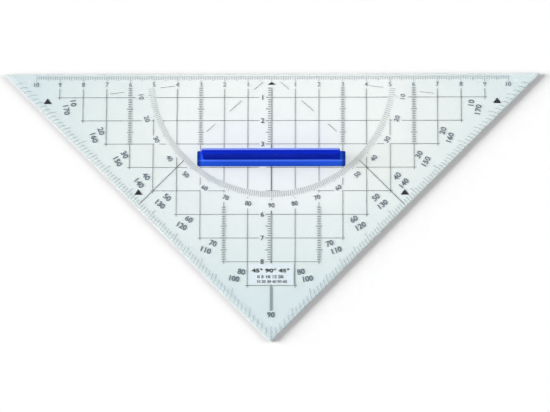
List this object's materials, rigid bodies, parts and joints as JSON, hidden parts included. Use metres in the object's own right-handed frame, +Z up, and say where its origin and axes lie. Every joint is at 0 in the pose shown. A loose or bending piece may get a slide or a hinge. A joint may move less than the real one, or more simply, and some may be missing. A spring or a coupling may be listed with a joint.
{
  "type": "set square",
  "caption": "Clear 45 degree drafting triangle with centimetre grid, millimetre rule, degree scales and a lift-off gripping handle.",
  "frame": {"origin": "centre of the bounding box at the plane the stand-off nubs rest on", "axes": "+X along the hypotenuse, +Y from the right-angle tip to the hypotenuse, +Z up out of the plate towards the handle"},
  "size_m": [0.2264, 0.1135, 0.0132],
  "materials": {
    "clear_acrylic": "polished, transparent",
    "blue_plastic": "satin moulded",
    "grey_ink": "printed film",
    "black_ink": "printed film",
    "pale_ink": "printed film"
  },
  "bodies": {
    "plate": {"plate": "clear_acrylic", "ink_hypotenuse_scale": "grey_ink", "ink_protractor_band": "grey_ink", "ink_leg_scale_right": "grey_ink", "ink_leg_scale_left": "grey_ink", "ink_grid": "grey_ink", "ink_ladders_outer": "grey_ink", "ink_ladders_inner": "grey_ink", "ink_ladders_lower": "grey_ink", "ink_ladders_centre": "grey_ink", "ink_hatch_guides": "grey_ink", "ink_diagonals": "grey_ink", "ink_zero_arrow": "black_ink", "ink_angle_arrows": "black_ink", "ink_legend_panel": "pale_ink"},
    "handle": {"handle": "blue_plastic"}
  },
  "joints": [
    {"name": "handle_lift", "type": "slide", "parent": "plate", "child": "handle", "axis": [0, 0, 1], "range_m": [0, 0.02]}
  ]
}
